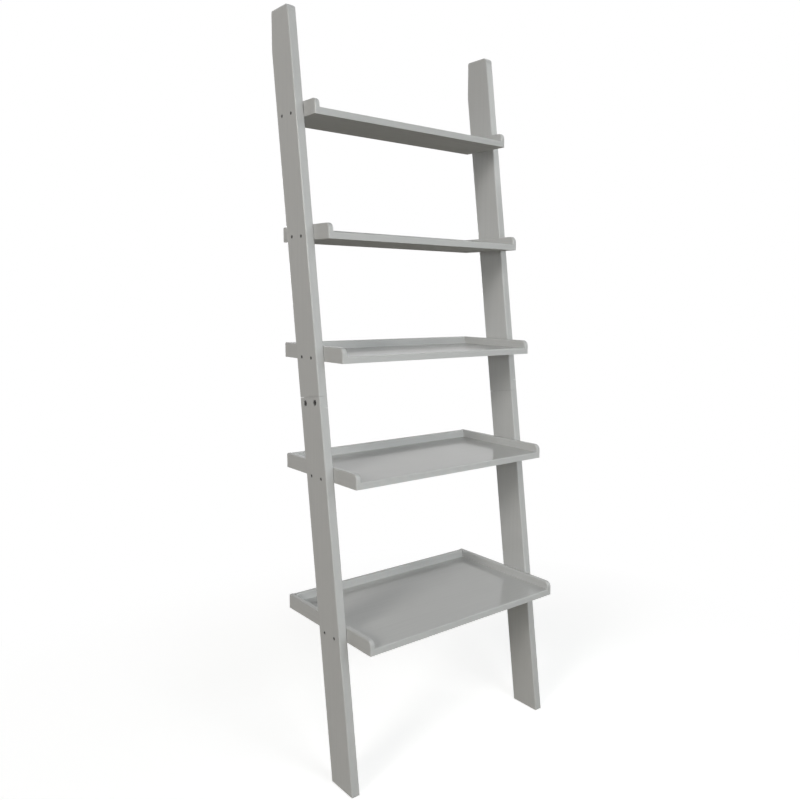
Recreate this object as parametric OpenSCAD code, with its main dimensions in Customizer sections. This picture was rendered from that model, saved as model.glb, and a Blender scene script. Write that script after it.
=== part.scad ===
// Five-tier leaning ladder shelf.
// Two slanted side rails lean on a wall. Each rail is two lengths joined with a bolted half-lap.
// Five tray shelves sit between the rails and grow deeper towards the floor.
// Each tray is a board with a lip on its left, right and back, and a rail screw at four places.
// Frame: +X is right, -Y is the front, +Z is up, and the origin is on the floor in the middle.
// Shelves are numbered from the top. Sizes are in millimetres and angles in degrees.

/* [Overall] */
// Width across the outer faces of the rails
overall_w = 640; // [450:10:900]
// Height of the rail tops above the floor
overall_h = 1825; // [1780:5:2100]
// Backward lean of the rails from upright
lean = 7.75; // [6:0.25:9]

/* [Rails] */
// Thickness of a rail, from its outer to its inner face
rail_t = 22; // [18:1:28]
// Depth of a rail, square to its length
rail_d = 88; // [70:1:95]
// Rounding of the rails' long edges and of the edges round their feet
rail_edge_r = 3; // [1:0.5:5]
// Rounding of the front corner at the top of a rail
rail_top_r = 20; // [4:1:25]
// Rounding of the inner and outer edges at the top of a rail
rail_end_r = 8; // [2:0.5:8.5]
// Height of the upright cut at the top that lies on the wall
wall_cut_h = 112; // [60:2:120]

/* [Rail joint] */
// How far the middle of the joint lies below the underside of the third shelf
joint_drop = 98; // [60:1:130]
// Length of the half-lap along the rail
lap_l = 28; // [24:1:50]
// Open seam at each shoulder of the half-lap
seam = 0.8; // [0.2:0.1:1.5]
// Shank diameter of a joint bolt
bolt_d = 6; // [5:0.5:8]
// Head diameter of a joint bolt
bolt_head_d = 13.5; // [10:0.5:14]
// Head height of a joint bolt
bolt_head_h = 3.5; // [3:0.5:5]
// How deep the top of a bolt head lies below the rail's face
bolt_sink = 1.5; // [0.5:0.5:2.5]
// Distance between the two bolts of a joint
bolt_spacing = 43; // [30:1:50]
// Width across the flats of a bolt's hex socket
hex_w = 4; // [3:0.5:5]
// Outer diameter of the threaded insert that takes a joint bolt
insert_d = 9; // [8.5:0.5:12]
// Length of the threaded insert
insert_l = 8; // [7:0.5:8.5]

/* [Shelves] */
// Height of the lowest shelf's underside above the floor
lowest_shelf_h = 358; // [300:1:420]
// Rise from the lowest shelf to the next one
lowest_rise = 372; // [330:1:400]
// Rise between the other shelves
shelf_rise = 280; // [260:1:300]
// Depth of the top shelf from the wall to its front
top_shelf_d = 155; // [140:1:180]
// How much deeper each shelf is than the one above it
shelf_d_step = 53; // [40:1:60]
// Thickness of a shelf board
board_t = 16; // [12:0.5:20]
// Rounding of a board's front top edge
board_edge_r = 3; // [1:0.5:5]

/* [Lips] */
// Height of the lips, from the board's underside
lip_h = 36; // [32:1:50]
// Thickness of the lips
lip_t = 13; // [10:0.5:18]
// Rounding of the upper front corner of a side lip
lip_corner_r = 14; // [8:1:16]
// Rounding along the edges of the lips
lip_edge_r = 3.5; // [1:0.5:4.5]

/* [Screws and dowels] */
// Distance between the two screws that hold a shelf to a rail
screw_spacing = 42; // [30:1:50]
// Length of a shelf screw
screw_l = 55; // [45:1:60]
// Shank diameter of a shelf screw
screw_d = 4; // [3:0.5:5]
// Head diameter of a shelf screw
screw_head_d = 7.5; // [7:0.5:10]
// How deep the top of a screw head lies below the rail's face
screw_sink = 0.6; // [0.2:0.2:2]
// Diameter of a shelf dowel
dowel_d = 6; // [5:0.5:8]
// Length of a shelf dowel
dowel_l = 24; // [20:1:35]
// How deep a dowel goes into a lip
dowel_in_lip = 8; // [5:0.5:8.5]
// Distance of the side dowels from the front and rear edges of the board
dowel_inset = 12; // [10:1:14]
// Distance of the outer back dowels from the ends of the board
back_dowel_inset = 60; // [45:1:100]

/* [Clearances] */
// Gap around a shank in a hole that it passes through
shank_gap = 0.25; // [0.1:0.05:0.4]
// Gap around a head in its recess
head_gap = 0.3; // [0.1:0.05:0.5]
// Gap around a screw, insert, bolt thread or dowel where it grips
grip_gap = 0.05; // [0.02:0.01:0.1]
// Room left at the bottom of a blind hole
end_gap = 0.5; // [0.3:0.1:0.9]

/* [Hidden] */
$fn = 48;
shelf_count = 5;
shelf_numbers = [1:shelf_count];

// Rails, in side view
rail_run = rail_d / cos(lean);
cut_z = overall_h - wall_cut_h;
lowest_shelf_d = top_shelf_d + (shelf_count - 1) * shelf_d_step;
foot_reach = cut_z * tan(lean) + rail_run;
overall_d = max(lowest_shelf_d, foot_reach);
wall_y = overall_d / 2;
rail_x = overall_w / 2 - rail_t;
past = 1;
// How far outside a rail's faces the rounding of its end edges starts
round_out = 0.05;

// Shelves
board_x = rail_x - lip_t;
arc_rise = lip_h - lip_corner_r;
board_rear_y = wall_y - lip_t;

// Rail joint, in the rail's own frame
joint_z = under_z(3) - joint_drop;
joint_s = joint_z / cos(lean);
half_t = rail_t / 2;
insert_hole_l = insert_l + end_gap / 2;
bolt_end_gap = 1.5;
bolt_tip = half_t + insert_l - bolt_end_gap;

// Screws
screw_rim_h = 0.3;
screw_cone_h = (screw_head_d - screw_d) / 2;
screw_tip_l = 2 * screw_d;
cross_w = screw_head_d / 8;
cross_l = screw_head_d * 0.6;
cross_h = screw_cone_h;
bolt_chamfer = 0.5;
hex_h = bolt_head_h * 0.6;
dowel_chamfer = 0.8;

paint_colour = [0.88, 0.88, 0.87];
screw_colour = [0.20, 0.20, 0.19];
dowel_colour = [0.82, 0.68, 0.48];
insert_colour = [0.80, 0.67, 0.34];

// The rail's rear and front lines, and the line between them, at height z
function rail_rear_y(z) = wall_y - (cut_z - z) * tan(lean);
function rail_front_y(z) = rail_rear_y(z) - rail_run;
function rail_mid_y(z) = rail_rear_y(z) - rail_run / 2;

// Each shelf's underside, depth, front and the height of the screws and dowels in its board
function under_z(n) = n == shelf_count ? lowest_shelf_h
    : lowest_shelf_h + lowest_rise + (shelf_count - 1 - n) * shelf_rise;
function shelf_d(n) = top_shelf_d + (n - 1) * shelf_d_step;
function shelf_front_y(n) = wall_y - shelf_d(n);
function board_mid_z(n) = under_z(n) + board_t / 2;

// Where the two screws of shelf n cross a rail
function screw_ys(n) = [for (s = [-1, 1]) rail_mid_y(board_mid_z(n)) + s * screw_spacing / 2];

// Where the side dowels and the back dowels of shelf n lie
function side_dowel_ys(n) = [shelf_front_y(n) + dowel_inset, board_rear_y - dowel_inset];
function back_dowel_xs() = [for (s = [-1, 0, 1]) s * (board_x - back_dowel_inset)];

// Everything beside the middle is drawn on the right, and mirrored for the left
module on_side(side) {
    mirror([side < 0 ? 1 : 0, 0, 0]) children();
}

// A side view drawn in Y and Z becomes a solid from x = 0 to x = w
module along_x(w) {
    rotate([90, 0, 90]) linear_extrude(height = w) children();
}

// A front view drawn in X and Z becomes a solid from the wall towards the front
module from_wall(l) {
    translate([0, wall_y, 0]) rotate([90, 0, 0]) linear_extrude(height = l) children();
}

// Turns a fastener that points along +Z so that it points inwards from a rail's outer face
module into_rail(y, z) {
    translate([overall_w / 2, y, z]) rotate([0, -90, 0]) children();
}

// A rectangle from the origin with chosen corners rounded: left low, right low, right high, left high
module soft_rectangle(w, h, r, corners) {
    difference() {
        square([w, h]);
        for (i = [0:3]) {
            if (corners[i]) soft_corner(w, h, r, i == 1 || i == 2, i > 1);
        }
    }
}

// What is cut away at one corner of a rectangle: a square less its quarter circle
module soft_corner(w, h, r, right, high) {
    difference() {
        translate([right ? w - r : -past, high ? h - r : -past]) square(r + past);
        translate([right ? w - r : r, high ? h - r : r]) circle(r = r);
    }
}

// ---- Rails ----

// Side view of what bounds a rail: the floor, the wall and a level top, with rounded corners but for the wall's
module rail_bounds() {
    front = wall_y - overall_d - rail_run;
    difference() {
        translate([front, 0]) square([wall_y - front, overall_h]);
        end_corner(rail_top_r, true, true);
        end_corner(rail_edge_r, true, false);
        end_corner(rail_edge_r, false, false);
    }
}

// What is cut away where a rail's slanted front or rear meets its level top or foot, in side view
module end_corner(r, front, high) {
    side = front ? -1 : 1;
    z = high ? overall_h - r : r;
    y = (front ? rail_front_y(z) : rail_rear_y(z)) - side * r / cos(lean);
    level = high ? overall_h + past : -past;
    tip_y = y + side * 2 * r * cos(lean);
    difference() {
        polygon([[y, z], [y, level], [tip_y, level], [tip_y, z - side * 2 * r * sin(lean)]]);
        translate([y, z]) circle(r = r);
    }
}

// What is cut away along the inner and outer edges of a rail's top and foot
module end_edges() {
    translate([rail_x, wall_y + past, 0]) rotate([90, 0, 0])
        linear_extrude(height = overall_d + rail_run + 2 * past)
            for (outer = [false, true]) {
                x = outer ? round_out : -round_out;
                translate([x, round_out]) soft_corner(rail_t, overall_h, rail_end_r, outer, true);
                translate([x, -round_out]) soft_corner(rail_t, overall_h, rail_edge_r, outer, false);
            }
}

// The rail's own frame: its origin is on the floor, in the middle of the rail's depth
module in_rail_frame() {
    translate([rail_x, rail_mid_y(0), 0]) rotate([-lean, 0, 0]) children();
}

// A straight bar with rounded long edges, longer than the rail at both ends
module rail_bar() {
    in_rail_frame() translate([0, -rail_d / 2, -rail_d])
        linear_extrude(height = overall_h / cos(lean) + 2 * rail_d)
            soft_rectangle(rail_t, rail_d, rail_edge_r, [true, true, true, true]);
}

// A whole rail before it is split, with every screw hole
module whole_rail() {
    difference() {
        intersection() {
            rail_bar();
            translate([rail_x - past, 0, 0]) along_x(rail_t + 2 * past) rail_bounds();
        }
        end_edges();
        for (n = shelf_numbers) {
            for (y = screw_ys(n)) into_rail(y, board_mid_z(n)) screw_hole();
        }
    }
}

// A block across one half of the rail's thickness, from s along the rail to far past its end
module half_block(outer, s, up) {
    l = overall_h;
    in_rail_frame() translate([outer ? half_t : -past, -rail_d, up ? s : s - l])
        cube([half_t + past, 2 * rail_d, l]);
}

// The two bolt places of the joint, each pointing inwards from the rail's outer face
module at_joint_bolts() {
    for (s = [-1, 1]) {
        in_rail_frame() translate([rail_t, s * bolt_spacing / 2, joint_s])
            rotate([0, -90, 0]) children();
    }
}

module lower_rail(side) {
    color(paint_colour) on_side(side) difference() {
        whole_rail();
        half_block(true, joint_s + (lap_l - seam) / 2, true);
        half_block(false, joint_s - (lap_l + seam) / 2, true);
        at_joint_bolts() bolt_hole();
    }
}

module upper_rail(side) {
    color(paint_colour) on_side(side) difference() {
        whole_rail();
        half_block(true, joint_s + (lap_l + seam) / 2, false);
        half_block(false, joint_s - (lap_l - seam) / 2, false);
        at_joint_bolts() insert_hole();
    }
}

// ---- Joint bolts and inserts ----

// Recess for the head and a clear hole for the shank, through the outer half of the lap
module bolt_hole() {
    translate([0, 0, -past]) cylinder(h = bolt_sink + bolt_head_h + past, d = bolt_head_d + 2 * head_gap);
    cylinder(h = half_t + past, d = bolt_d + 2 * shank_gap);
}

// Blind hole for the insert, from the lap's middle plane into the inner half
module insert_hole() {
    translate([0, 0, half_t - past]) cylinder(h = insert_hole_l + past, d = insert_d + 2 * grip_gap);
}

// A flat-headed machine bolt with a hex socket, ending just short of the insert's far rim
module joint_bolt() {
    difference() {
        rotate_extrude() polygon([
            [0, bolt_sink],
            [bolt_head_d / 2 - bolt_chamfer, bolt_sink],
            [bolt_head_d / 2, bolt_sink + bolt_chamfer],
            [bolt_head_d / 2, bolt_sink + bolt_head_h],
            [bolt_d / 2, bolt_sink + bolt_head_h],
            [bolt_d / 2, bolt_tip - bolt_chamfer],
            [bolt_d / 2 - bolt_chamfer, bolt_tip],
            [0, bolt_tip]
        ]);
        translate([0, 0, bolt_sink - past]) cylinder(h = hex_h + past, d = hex_w / cos(30), $fn = 6);
    }
}

// A brass sleeve with a flush rim, open at both ends
module joint_insert() {
    translate([0, 0, half_t]) difference() {
        cylinder(h = insert_l, d = insert_d);
        translate([0, 0, -past]) cylinder(h = insert_l + 2 * past, d = bolt_d + 2 * grip_gap);
    }
}

module joint_bolts(side) {
    color(screw_colour) on_side(side) at_joint_bolts() joint_bolt();
}

module joint_inserts(side) {
    color(insert_colour) on_side(side) at_joint_bolts() joint_insert();
}

// ---- Shelf screws ----

// A countersunk wood screw with a cross recess
module shelf_screw() {
    difference() {
        rotate_extrude() polygon([
            [0, screw_sink],
            [screw_head_d / 2, screw_sink],
            [screw_head_d / 2, screw_sink + screw_rim_h],
            [screw_d / 2, screw_sink + screw_rim_h + screw_cone_h],
            [screw_d / 2, screw_l - screw_tip_l],
            [0, screw_l]
        ]);
        for (a = [0, 90]) {
            rotate([0, 0, a]) translate([-cross_l / 2, -cross_w / 2, screw_sink - past])
                cube([cross_l, cross_w, cross_h + past]);
        }
    }
}

// Countersunk hole through a rail
module screw_hole() {
    head_r = screw_head_d / 2 + head_gap;
    shank_r = screw_d / 2 + shank_gap;
    seat = screw_sink + screw_rim_h;
    rotate_extrude() polygon([
        [0, -past],
        [head_r, -past],
        [head_r, seat],
        [shank_r, seat + head_r - shank_r],
        [shank_r, rail_t + past],
        [0, rail_t + past]
    ]);
}

// Clear hole through a side lip
module screw_hole_in_lip() {
    translate([0, 0, rail_t - past]) cylinder(h = lip_t + 2 * past, d = screw_d + 2 * shank_gap);
}

// Pilot hole in the end of a board
module screw_hole_in_board() {
    start = rail_t + lip_t - past;
    translate([0, 0, start]) cylinder(h = screw_l + end_gap - start, d = screw_d + 2 * grip_gap);
}

module shelf_screws(n) {
    color(screw_colour) {
        for (side = [-1, 1]) {
            on_side(side) for (y = screw_ys(n)) into_rail(y, board_mid_z(n)) shelf_screw();
        }
    }
}

// ---- Dowels ----

// A dowel along +Z whose middle plane lies where the board meets the lip
module dowel() {
    r = dowel_d / 2;
    rotate_extrude() polygon([
        [0, dowel_in_lip - dowel_l],
        [r - dowel_chamfer, dowel_in_lip - dowel_l],
        [r, dowel_in_lip - dowel_l + dowel_chamfer],
        [r, dowel_in_lip - dowel_chamfer],
        [r - dowel_chamfer, dowel_in_lip],
        [0, dowel_in_lip]
    ]);
}

// The blind holes of a dowel in both pieces that it joins
module dowel_hole() {
    translate([0, 0, dowel_in_lip - dowel_l - end_gap])
        cylinder(h = dowel_l + 2 * end_gap, d = dowel_d + 2 * grip_gap);
}

// Places for the dowels that join the board to the right lip
module at_side_dowels(n) {
    for (y = side_dowel_ys(n)) {
        translate([board_x, y, board_mid_z(n)]) rotate([0, 90, 0]) children();
    }
}

// Places for the dowels that join the board to the back lip
module at_back_dowels(n) {
    for (x = back_dowel_xs()) {
        translate([x, board_rear_y, board_mid_z(n)]) rotate([-90, 0, 0]) children();
    }
}

module shelf_dowels(n) {
    color(dowel_colour) {
        for (side = [-1, 1]) {
            on_side(side) at_side_dowels(n) dowel();
        }
        at_back_dowels(n) dowel();
    }
}

// ---- Shelves ----

// Side view of a board: a rounded front top edge
module board_outline(n) {
    translate([shelf_front_y(n), under_z(n)])
        soft_rectangle(board_rear_y - shelf_front_y(n), board_t, board_edge_r, [false, false, false, true]);
}

module shelf_board(n) {
    color(paint_colour) difference() {
        translate([-board_x, 0, 0]) along_x(2 * board_x) board_outline(n);
        for (side = [-1, 1]) {
            on_side(side) {
                at_side_dowels(n) dowel_hole();
                for (y = screw_ys(n)) into_rail(y, board_mid_z(n)) screw_hole_in_board();
            }
        }
        at_back_dowels(n) dowel_hole();
    }
}

// The straight run of a side lip, from the wall to where its front corner starts
module lip_run(n) {
    from_wall(shelf_d(n) - lip_corner_r)
        translate([board_x, under_z(n)]) soft_rectangle(lip_t, lip_h, lip_edge_r, [false, false, true, true]);
}

// The lip's rounded upper front corner, a quarter of a disc with soft edges
module lip_corner(n) {
    translate([board_x, shelf_front_y(n) + lip_corner_r, under_z(n) + arc_rise])
        rotate([0, 90, 0]) rotate([0, 0, 180]) rotate_extrude(angle = 90)
            soft_rectangle(lip_corner_r, lip_t, lip_edge_r, [false, true, true, false]);
}

// The lip's upright front end, flush with the board below and soft on both edges above it
module lip_front(n) {
    low = min(board_t, arc_rise);
    translate([board_x, shelf_front_y(n), under_z(n)]) {
        linear_extrude(height = low) soft_rectangle(lip_t, lip_corner_r, lip_edge_r, [false, true, false, false]);
        if (arc_rise > board_t) {
            translate([0, 0, low]) linear_extrude(height = arc_rise - low)
                soft_rectangle(lip_t, lip_corner_r, lip_edge_r, [true, true, false, false]);
        }
    }
}

module side_lip(n, side) {
    color(paint_colour) on_side(side) difference() {
        union() {
            lip_run(n);
            lip_corner(n);
            lip_front(n);
        }
        at_side_dowels(n) dowel_hole();
        for (y = screw_ys(n)) into_rail(y, board_mid_z(n)) screw_hole_in_lip();
    }
}

module back_lip(n) {
    color(paint_colour) difference() {
        translate([-board_x, 0, 0]) along_x(2 * board_x) translate([board_rear_y, under_z(n)])
            soft_rectangle(lip_t, lip_h, lip_edge_r, [false, false, true, true]);
        at_back_dowels(n) dowel_hole();
    }
}

lower_rail(-1);  // left_lower_rail
upper_rail(-1);  // left_upper_rail
lower_rail(1);  // right_lower_rail
upper_rail(1);  // right_upper_rail
joint_bolts(-1);  // left_joint_bolts
joint_bolts(1);  // right_joint_bolts
joint_inserts(-1);  // left_joint_inserts
joint_inserts(1);  // right_joint_inserts
for (n = shelf_numbers) {
    shelf_board(n);
    side_lip(n, -1);
    side_lip(n, 1);
    back_lip(n);
    shelf_screws(n);
    shelf_dowels(n);
}
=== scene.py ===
"""The looks of a five-tier leaning ladder shelf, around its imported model.

Lengths are in metres. +Z is up and the front faces -Y.
"""
import math

import bpy
from mathutils import Matrix, Vector


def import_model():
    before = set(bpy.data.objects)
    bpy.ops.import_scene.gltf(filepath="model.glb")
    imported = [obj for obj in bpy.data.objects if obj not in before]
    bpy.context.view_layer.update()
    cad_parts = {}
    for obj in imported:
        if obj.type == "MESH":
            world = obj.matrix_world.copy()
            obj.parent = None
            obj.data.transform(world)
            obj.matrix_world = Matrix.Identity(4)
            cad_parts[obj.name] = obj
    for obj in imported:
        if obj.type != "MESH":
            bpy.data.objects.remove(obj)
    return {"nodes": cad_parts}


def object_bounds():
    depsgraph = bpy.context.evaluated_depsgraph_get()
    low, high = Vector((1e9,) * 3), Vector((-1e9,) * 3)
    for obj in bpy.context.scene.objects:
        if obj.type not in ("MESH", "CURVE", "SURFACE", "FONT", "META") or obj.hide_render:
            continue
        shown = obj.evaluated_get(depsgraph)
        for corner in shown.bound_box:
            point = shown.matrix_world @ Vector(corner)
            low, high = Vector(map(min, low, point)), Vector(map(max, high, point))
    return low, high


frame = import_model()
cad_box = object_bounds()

# ---- Camera: in front of the shelf and to its left, at about chest height ----

CAMERA_PLACE = Vector((-1.2553, -1.5714, 1.1631))
CAMERA_TURN = math.radians(-40.67)
CAMERA_TILT = math.radians(-7.22)
CAMERA_ROLL = math.radians(0.58)
LENS_MM = 35.38
SENSOR_MM = 36.0
LENS_SHIFT = (-0.066, -0.005)
SIGHT_RANGE = 100.0

# ---- Colours, as linear RGB ----

PAINT = (0.63, 0.632, 0.625)
BLACKENED_STEEL = (0.045, 0.043, 0.04)
WORN_STEEL = (0.16, 0.155, 0.15)
BEECH_LIGHT = (0.56, 0.40, 0.25)
BEECH_DARK = (0.40, 0.25, 0.14)
BRASS = (0.62, 0.44, 0.18)
FLOOR_WHITE = (0.80, 0.80, 0.80)
FLOOR_GREY = (0.24, 0.215, 0.165)

# ---- Paint. A shade is the share of the paint's colour that its darkest places keep ----

CLOUD_SHADE = 0.97
CLOUD_SCALE = 6.0
STREAK_SHADE = 0.945
STREAK_SCALE = 150.0
# Roughness, from the lowest to the highest, and that of the dull thin coat on undersides.
PAINT_ROUGHNESS = (0.12, 0.19)
DULL_COAT = 0.92
# How strongly the paint mirrors, on most pieces and on the boards.
PAINT_MIRROR = 0.35
BOARD_MIRROR = 0.24

# Each bump: noise scale, noise detail, strength, and height in metres.
WAVES = (60.0, 2.0, 0.2, 0.00014)
FIBRES = (260.0, 4.0, 0.25, 0.00005)
PEEL = (420.0, 1.0, 0.1, 0.0001)

# A surface's own axes, unstretched or drawn out along one of them.
EVEN = (1.0, 1.0, 1.0)
ALONG_X = (0.02, 1.0, 1.0)
ALONG_Y = (1.0, 0.02, 1.0)
ALONG_Z = (1.0, 1.0, 0.02)

# The upward part of a face's direction, where it counts as an underside and where it stops.
FULLY_UNDER = -0.95
NOT_UNDER = -0.6

# ---- Metal and beech. Roughness is given as its lowest and highest value ----

STEEL_SCUFF_SCALE = 900.0
STEEL_SCUFF_RANGE = (0.55, 0.7)
STEEL_GRAIN_SCALE = 300.0
STEEL_ROUGHNESS = (0.3, 0.5)
STEEL_METALLIC = 0.7
BEECH_FLECK_SCALE = 500.0
BEECH_ROUGHNESS = (0.5, 0.7)
BRASS_TARNISH_SCALE = 300.0
BRASS_TARNISH_SHADE = 0.75
BRASS_ROUGHNESS = (0.25, 0.4)


# ---- Shader helpers ----

class Shader:
    """A material's node tree with short calls for the nodes used here."""

    def __init__(self, name):
        self.material = bpy.data.materials.new(name)
        self.material.use_nodes = True
        self.tree = self.material.node_tree
        self.tree.nodes.clear()
        self.output = self.tree.nodes.new("ShaderNodeOutputMaterial")

    def node(self, kind, **settings):
        """A new node. Settings are the node's own attributes."""
        made = self.tree.nodes.new("ShaderNode" + kind)
        for key, value in settings.items():
            setattr(made, key, value)
        return made

    def link(self, source, target):
        self.tree.links.new(source, target)

    def place(self, scale):
        """The surface's own place in its object's frame, stretched by a scale for each axis."""
        coordinates = self.node("TexCoord")
        mapping = self.node("Mapping")
        mapping.inputs["Scale"].default_value = scale
        self.link(coordinates.outputs["Object"], mapping.inputs["Vector"])
        return mapping.outputs["Vector"]

    def noise(self, place, scale, detail=3.0, roughness=0.5):
        noise = self.node("TexNoise")
        noise.inputs["Scale"].default_value = scale
        noise.inputs["Detail"].default_value = detail
        noise.inputs["Roughness"].default_value = roughness
        self.link(place, noise.inputs["Vector"])
        return noise.outputs["Fac"]

    def spread(self, value, low, high, from_low=0.3, from_high=0.7):
        """Maps a value onto the range from low to high. The limits it starts from suit noise."""
        spread = self.node("MapRange")
        spread.inputs["From Min"].default_value = from_low
        spread.inputs["From Max"].default_value = from_high
        spread.inputs["To Min"].default_value = low
        spread.inputs["To Max"].default_value = high
        self.link(value, spread.inputs["Value"])
        return spread.outputs["Result"]

    def underside(self):
        """0 on faces that look up or sideways, and 1 on those that look down."""
        down = self.node("SeparateXYZ")
        self.link(self.node("TexCoord").outputs["Normal"], down.inputs["Vector"])
        return self.spread(down.outputs["Z"], 1.0, 0.0, FULLY_UNDER, NOT_UNDER)

    def duller(self, value, amount):
        """Raises a roughness to that of a dull thin coat, as far as amount says."""
        mix = self.node("Mix", data_type="FLOAT")
        mix.inputs["B"].default_value = DULL_COAT
        self.link(value, mix.inputs["A"])
        self.link(amount, mix.inputs["Factor"])
        return mix.outputs["Result"]

    def mix(self, factor, first, second):
        """A blend of two colours, each of which is an RGB value or another node's result."""
        mix = self.node("Mix", data_type="RGBA")
        for letter, colour in (("A", first), ("B", second)):
            if isinstance(colour, tuple):
                mix.inputs[letter].default_value = (*colour, 1.0)
            else:
                self.link(colour, mix.inputs[letter])
        self.link(factor, mix.inputs["Factor"])
        return mix.outputs["Result"]

    def bump(self, place, kind, under=None):
        """A bump of noise, of one of the kinds above, on top of the one under it."""
        scale, detail, strength, height = kind
        noise = self.noise(place, scale, detail=detail)
        bump = self.node("Bump")
        bump.inputs["Strength"].default_value = strength
        bump.inputs["Distance"].default_value = height
        self.link(noise, bump.inputs["Height"])
        if under is not None:
            self.link(under, bump.inputs["Normal"])
        return bump.outputs["Normal"]

    def surface(self, colour, roughness, normal=None, **constants):
        """The principled shader that ends the tree."""
        shader = self.node("BsdfPrincipled")
        self.link(colour, shader.inputs["Base Color"])
        self.link(roughness, shader.inputs["Roughness"])
        if normal is not None:
            self.link(normal, shader.inputs["Normal"])
        for name, value in constants.items():
            shader.inputs[name.replace("_", " ")].default_value = value
        self.link(shader.outputs["BSDF"], self.output.inputs["Surface"])
        return self.material


# ---- Materials ----

def shaded(colour, share):
    return tuple(share * part for part in colour)


def white_paint(name, grain, mirror=PAINT_MIRROR):
    """Semi-gloss white paint on wood.

    It has faint clouds, fine brush streaks along the piece and a slight orange peel, and is
    duller on undersides.
    """
    shader = Shader(name)
    even = shader.place(EVEN)
    along = shader.place(grain)
    clouds = shader.noise(even, CLOUD_SCALE, detail=2.0)
    streaks = shader.noise(along, STREAK_SCALE, detail=5.0, roughness=0.6)
    clouded = shader.mix(shader.spread(clouds, 0.0, 1.0), PAINT, shaded(PAINT, CLOUD_SHADE))
    colour = shader.mix(shader.spread(streaks, 0.0, 1.0), clouded, shaded(PAINT, STREAK_SHADE))
    sheen = shader.spread(streaks, *PAINT_ROUGHNESS)
    roughness = shader.duller(sheen, shader.underside())
    waves = shader.bump(along, WAVES)
    fibres = shader.bump(along, FIBRES, under=waves)
    peel = shader.bump(even, PEEL, under=fibres)
    return shader.surface(colour, roughness, peel, Specular_IOR_Level=mirror)


def dark_steel():
    """Blackened steel with small bright scuffs."""
    shader = Shader("blackened_steel")
    even = shader.place(EVEN)
    scuff_noise = shader.noise(even, STEEL_SCUFF_SCALE, detail=4.0)
    scuffs = shader.spread(scuff_noise, 0.0, 1.0, *STEEL_SCUFF_RANGE)
    colour = shader.mix(scuffs, BLACKENED_STEEL, WORN_STEEL)
    roughness = shader.spread(shader.noise(even, STEEL_GRAIN_SCALE), *STEEL_ROUGHNESS)
    return shader.surface(colour, roughness, Metallic=STEEL_METALLIC)


def beech():
    """Bare beech with fine dark flecks."""
    shader = Shader("beech")
    flecks = shader.noise(shader.place(EVEN), BEECH_FLECK_SCALE)
    colour = shader.mix(shader.spread(flecks, 0.0, 1.0), BEECH_LIGHT, BEECH_DARK)
    roughness = shader.spread(flecks, *BEECH_ROUGHNESS)
    return shader.surface(colour, roughness)


def brass():
    """Turned brass with uneven shine."""
    shader = Shader("brass")
    tarnish = shader.noise(shader.place(EVEN), BRASS_TARNISH_SCALE)
    dull_brass = shaded(BRASS, BRASS_TARNISH_SHADE)
    colour = shader.mix(shader.spread(tarnish, 0.0, 1.0), BRASS, dull_brass)
    roughness = shader.spread(tarnish, *BRASS_ROUGHNESS)
    return shader.surface(colour, roughness, Metallic=1.0)


def dress(names, material):
    for name in names:
        node = frame["nodes"][name]
        node.data.materials.clear()
        node.data.materials.append(material)


def named(*endings):
    return [name for name in frame["nodes"] if name.endswith(endings)]


dress(named("_rail"), white_paint("white_paint_rails", ALONG_Z))
dress(named("_board"), white_paint("white_paint_boards", ALONG_X, BOARD_MIRROR))
dress(named("_back_lip"), white_paint("white_paint_back_lips", ALONG_X))
dress(named("_left_lip", "_right_lip"), white_paint("white_paint_side_lips", ALONG_Y))
dress(named("_screws", "_bolts"), dark_steel())
dress(named("_dowels"), beech())
dress(named("_inserts"), brass())


# ---- Floor and background ----

FLOOR_HALF = 12.0
FLOOR_GLOW = 0.64
# The shadow is whole up to the first distance from the shelf's middle, and gone at the second.
SHADOW_NEAR = 0.7
SHADOW_FAR = 1.5
BACKGROUND = 1.0


def floor():
    mesh = bpy.data.meshes.new("floor")
    signs = ((-1, -1), (1, -1), (1, 1), (-1, 1))
    corners = [(x * FLOOR_HALF, y * FLOOR_HALF, 0.0) for x, y in signs]
    mesh.from_pydata(corners, [], [(0, 1, 2, 3)])
    made = bpy.data.objects.new("floor", mesh)
    bpy.context.scene.collection.objects.link(made)
    mesh.materials.append(floor_material())


def floor_material():
    """Seen directly or mirrored, the floor is white and keeps the shadow near the shelf.

    It lights the shelf as a grey floor.
    """
    shader = Shader("floor")
    path = shader.node("LightPath")
    lit = shader.node("BsdfDiffuse")
    lit.inputs["Color"].default_value = (*FLOOR_WHITE, 1.0)
    glow = shader.node("Emission")
    glow.inputs["Strength"].default_value = FLOOR_GLOW
    near = shader.node("AddShader")
    shader.link(lit.outputs["BSDF"], near.inputs[0])
    shader.link(glow.outputs["Emission"], near.inputs[1])
    white = shader.node("Emission")
    white.inputs["Strength"].default_value = BACKGROUND
    length = shader.node("VectorMath", operation="LENGTH")
    shader.link(shader.place(EVEN), length.inputs[0])
    away = shader.spread(length.outputs["Value"], 0.0, 1.0, SHADOW_NEAR, SHADOW_FAR)
    seen = shader.node("MixShader")
    shader.link(away, seen.inputs["Fac"])
    shader.link(near.outputs["Shader"], seen.inputs[1])
    shader.link(white.outputs["Emission"], seen.inputs[2])
    grey = shader.node("BsdfDiffuse")
    grey.inputs["Color"].default_value = (*FLOOR_GREY, 1.0)
    direct = shader.node("Math", operation="MAXIMUM")
    shader.link(path.outputs["Is Camera Ray"], direct.inputs[0])
    shader.link(path.outputs["Is Glossy Ray"], direct.inputs[1])
    mix = shader.node("MixShader")
    shader.link(direct.outputs["Value"], mix.inputs["Fac"])
    shader.link(grey.outputs["BSDF"], mix.inputs[1])
    shader.link(seen.outputs["Shader"], mix.inputs[2])
    shader.link(mix.outputs["Shader"], shader.output.inputs["Surface"])
    return shader.material


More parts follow.
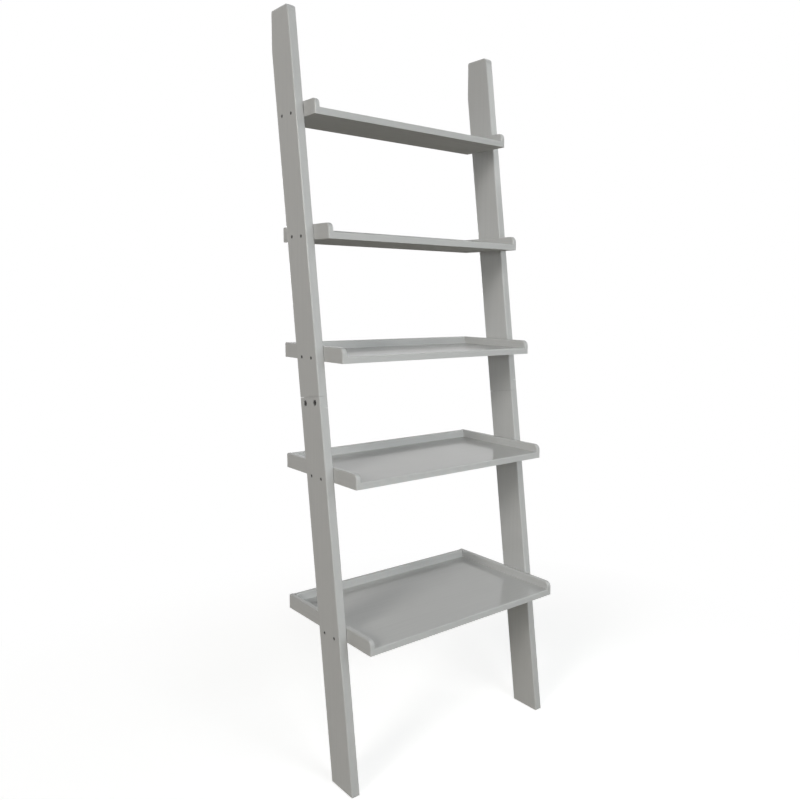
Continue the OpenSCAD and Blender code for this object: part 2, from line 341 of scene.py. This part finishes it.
def world():
    """White where it is seen or mirrored, and black to all other rays."""
    made = bpy.data.worlds.new("studio")
    bpy.context.scene.world = made
    made.use_nodes = True
    nodes = made.node_tree.nodes
    links = made.node_tree.links
    nodes.clear()
    output = nodes.new("ShaderNodeOutputWorld")
    path = nodes.new("ShaderNodeLightPath")
    mirrored = nodes.new("ShaderNodeMath")
    mirrored.operation = "MAXIMUM"
    direct = nodes.new("ShaderNodeMath")
    direct.operation = "MAXIMUM"
    white = nodes.new("ShaderNodeBackground")
    white.inputs["Color"].default_value = (1.0, 1.0, 1.0, 1.0)
    white.inputs["Strength"].default_value = BACKGROUND
    dark = nodes.new("ShaderNodeBackground")
    dark.inputs["Strength"].default_value = 0.0
    mix = nodes.new("ShaderNodeMixShader")
    links.new(path.outputs["Is Glossy Ray"], mirrored.inputs[0])
    links.new(path.outputs["Is Transmission Ray"], mirrored.inputs[1])
    links.new(path.outputs["Is Camera Ray"], direct.inputs[0])
    links.new(mirrored.outputs["Value"], direct.inputs[1])
    links.new(direct.outputs["Value"], mix.inputs["Fac"])
    links.new(dark.outputs["Background"], mix.inputs[1])
    links.new(white.outputs["Background"], mix.inputs[2])
    links.new(mix.outputs["Shader"], output.inputs["Surface"])


# ---- Lights ----

MIDDLE = (cad_box[0] + cad_box[1]) / 2
# These lamps are left out of mirror images, so that seen from behind they make no hard-edged
# white patch on the shelf tops.
UNMIRRORED = ("front_lamp", "near_lamp")

# Each lamp: name, place, side of its square in metres, power in watts, and colour.
LAMPS = (
    ("high_left_lamp", (-6.0, -2.0, 3.2), 2.0, 150.0, (1.0, 0.975, 0.935)),
    ("key_lamp", (-3.3, -3.3, 5.2), 3.0, 14.0, (0.95, 1.0, 0.97)),
    ("right_front_lamp", (0.6, -3.2, 2.4), 1.5, 13.0, (0.955, 1.0, 1.02)),
    ("front_lamp", (-0.2, -2.4, 1.2), 1.0, 20.0, (0.955, 1.0, 1.02)),
    ("near_lamp", (-1.3, -1.9, 1.4), 0.4, 5.5, (0.98, 1.0, 1.0)),
    ("right_lamp", (4.0, 0.0, 2.8), 4.5, 40.0, (1.0, 0.99, 0.95)),
    ("high_right_lamp", (3.0, -2.5, 3.2), 1.0, 9.0, (0.97, 1.0, 0.98)),
    ("back_lamp", (0.0, 4.0, 1.5), 1.0, 36.0, (1.0, 1.0, 1.0)),
)


def soft_light(name, place, size, power, colour):
    """A square area light aimed at the middle of the shelf."""
    data = bpy.data.lights.new(name, "AREA")
    data.shape = "SQUARE"
    data.size = size
    data.energy = power
    data.color = colour
    made = bpy.data.objects.new(name, data)
    made.location = place
    made.rotation_mode = "QUATERNION"
    made.rotation_quaternion = (MIDDLE - made.location).to_track_quat("-Z", "Y")
    made.visible_glossy = name not in UNMIRRORED
    bpy.context.scene.collection.objects.link(made)


floor()
world()
for name, place, size, power, colour in LAMPS:
    soft_light(name, Vector(place), size, power, colour)


# ---- Camera ----

def camera():
    data = bpy.data.cameras.new("camera")
    data.lens = LENS_MM
    data.sensor_width = SENSOR_MM
    data.shift_x, data.shift_y = LENS_SHIFT
    data.clip_end = SIGHT_RANGE
    made = bpy.data.objects.new("camera", data)
    made.location = CAMERA_PLACE
    turn = Matrix.Rotation(CAMERA_TURN, 3, "Z")
    tilt = Matrix.Rotation(math.pi / 2 + CAMERA_TILT, 3, "X")
    roll = Matrix.Rotation(CAMERA_ROLL, 3, "Z")
    made.rotation_euler = (turn @ tilt @ roll).to_euler()
    bpy.context.scene.collection.objects.link(made)
    bpy.context.scene.camera = made


camera()
bpy.context.scene.view_settings.view_transform = "Standard"
